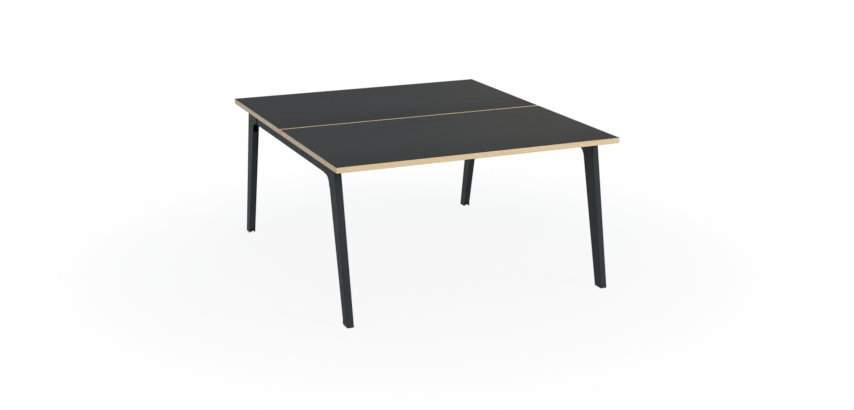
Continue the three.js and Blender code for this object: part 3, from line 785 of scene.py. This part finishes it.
# Studio: a pale floor in a soft cool room. A broad warm lamp stands ahead, a cooler one at the right
# front, a weak low one at the left, and behind are a weak warm one that skims the tops and a low one for
# the far legs. Camera and reflections see room and open floor as white, and the desk keeps its shadow.
WHITE = "#ffffff"
FLOOR_HALF, FLOOR_DROP, FLOOR_TONE = 40.0, 0.1 * MM, "#cccccb"
FLOOR_NEAR, FLOOR_FAR, FLOOR_NEAR_SHARE = 0.9, 2.2, 0.9
ROOM_TONE, ROOM_LEVEL = "#e7f1ff", 0.55
LIGHTS = {
    "front": {"at": (-2.0, -5.0, 3.4), "size": (2.8, 2.2), "watts": 130, "colour": "#ffefd4"},
    "right": {"at": (3.6, -5.2, 1.9), "size": (1.2, 1.0), "watts": 185, "colour": "#effbff"},
    "left": {"at": (-3.2, 0.6, 0.5), "size": (2.4, 0.7), "watts": 12, "colour": "#cfe0ff"},
    "rear": {"at": (4.4, 6.0, 2.1), "size": (2.5, 1.5), "watts": 24, "colour": "#ffd9a6"},
    "low_rear": {"at": (0.4, 6.2, 0.35), "size": (3.0, 0.6), "watts": 120, "colour": "#fff1e0"},
}
LIGHTS_AIM = Vector((0, 0, 0.5))

floor_mesh = bmesh.new()
bmesh.ops.create_grid(floor_mesh, x_segments=1, y_segments=1, size=FLOOR_HALF)
floor = bpy.data.objects.new("floor", bpy.data.meshes.new("floor"))
floor_mesh.to_mesh(floor.data)
floor_mesh.free()
bpy.context.scene.collection.objects.link(floor)
floor.location.z = -FLOOR_DROP


def looked_at(tree):
    """Gives 1 for rays from the camera, off a gloss or through glass, and 0 for rays that only light."""
    rays = add_node(tree, "LightPath")
    straight, mirrored = rays.outputs["Is Camera Ray"], rays.outputs["Is Glossy Ray"]
    direct = add_node(tree, "Math", {0: straight, 1: mirrored}, operation="MAXIMUM")
    through = rays.outputs["Is Transmission Ray"]
    return add_node(tree, "Math", {0: direct.outputs[0], 1: through}, operation="MAXIMUM").outputs[0]


# Floor paint: matt and pale, white to the eye where the floor is open and a little less so near the desk.
# From below it is clear, so that the desk's underside can be seen.
floor_paint, tree, place = new_material("white_floor_paint")
away = add_node(tree, "VectorMath", {0: place}, operation="LENGTH")
open_floor = add_node(
    tree,
    "MapRange",
    {
        "Value": away.outputs["Value"],
        "From Min": FLOOR_NEAR,
        "From Max": FLOOR_FAR,
        "To Min": FLOOR_NEAR_SHARE,
        "To Max": 1.0,
    },
    interpolation_type="SMOOTHSTEP",
)
share = add_node(tree, "Math", {0: looked_at(tree), 1: open_floor.outputs[0]}, operation="MULTIPLY")
matt = add_node(tree, "BsdfDiffuse", {"Color": linear(FLOOR_TONE)})
glow = add_node(tree, "Emission", {"Color": linear(WHITE), "Strength": 1.0})
white = add_node(tree, "MixShader", {0: share.outputs[0], 1: matt.outputs[0], 2: glow.outputs[0]})
below = add_node(tree, "NewGeometry")
clear = add_node(tree, "BsdfTransparent")
one_sided = add_node(
    tree, "MixShader", {0: below.outputs["Backfacing"], 1: white.outputs[0], 2: clear.outputs[0]}
)
add_node(tree, "OutputMaterial", {"Surface": one_sided.outputs[0]})
floor.data.materials.append(floor_paint)

world = bpy.data.worlds.new("studio")
world.use_nodes = True
tree = world.node_tree
tree.nodes.clear()
room = add_node(tree, "Background", {"Color": linear(ROOM_TONE), "Strength": ROOM_LEVEL})
backdrop = add_node(tree, "Background", {"Color": linear(WHITE), "Strength": 1.0})
surround = add_node(tree, "MixShader", {0: looked_at(tree), 1: room.outputs[0], 2: backdrop.outputs[0]})
add_node(tree, "OutputWorld", {"Surface": surround.outputs[0]})
bpy.context.scene.world = world

for name, light in LIGHTS.items():
    lamp = bpy.data.lights.new(name, "AREA")
    lamp.shape = "RECTANGLE"
    lamp.size, lamp.size_y = light["size"]
    lamp.energy = light["watts"]
    lamp.color = linear(light["colour"])[:3]
    lamp_object = bpy.data.objects.new(name, lamp)
    lamp_object.location = light["at"]
    lamp_object.rotation_euler = (LIGHTS_AIM - lamp_object.location).to_track_quat("-Z", "Y").to_euler()
    lamp_object.visible_camera = False
    bpy.context.scene.collection.objects.link(lamp_object)


# Camera: ahead of the desk and to its left, just above head height. Its view is turned to the right of the
# desk's depth and dips towards the tops, and its lens and sensor are in millimetres.
CAMERA_AT = Vector((-2.489, -5.851, 2.131))
CAMERA_TURN, CAMERA_DIP = math.radians(23.618), math.radians(16.221)
CAMERA_LENS, CAMERA_SENSOR = 54.79, 36.0
CAMERA_REACH = 200.0

camera = bpy.data.objects.new("camera", bpy.data.cameras.new("camera"))
camera.data.lens = CAMERA_LENS
camera.data.sensor_width = CAMERA_SENSOR
camera.data.clip_end = CAMERA_REACH
camera.location = CAMERA_AT
ahead = Vector((
    math.sin(CAMERA_TURN) * math.cos(CAMERA_DIP),
    math.cos(CAMERA_TURN) * math.cos(CAMERA_DIP),
    -math.sin(CAMERA_DIP),
))
camera.rotation_euler = ahead.to_track_quat("-Z", "Y").to_euler()
bpy.context.scene.collection.objects.link(camera)
bpy.context.scene.camera = camera
bpy.context.scene.view_settings.view_transform = "Standard"
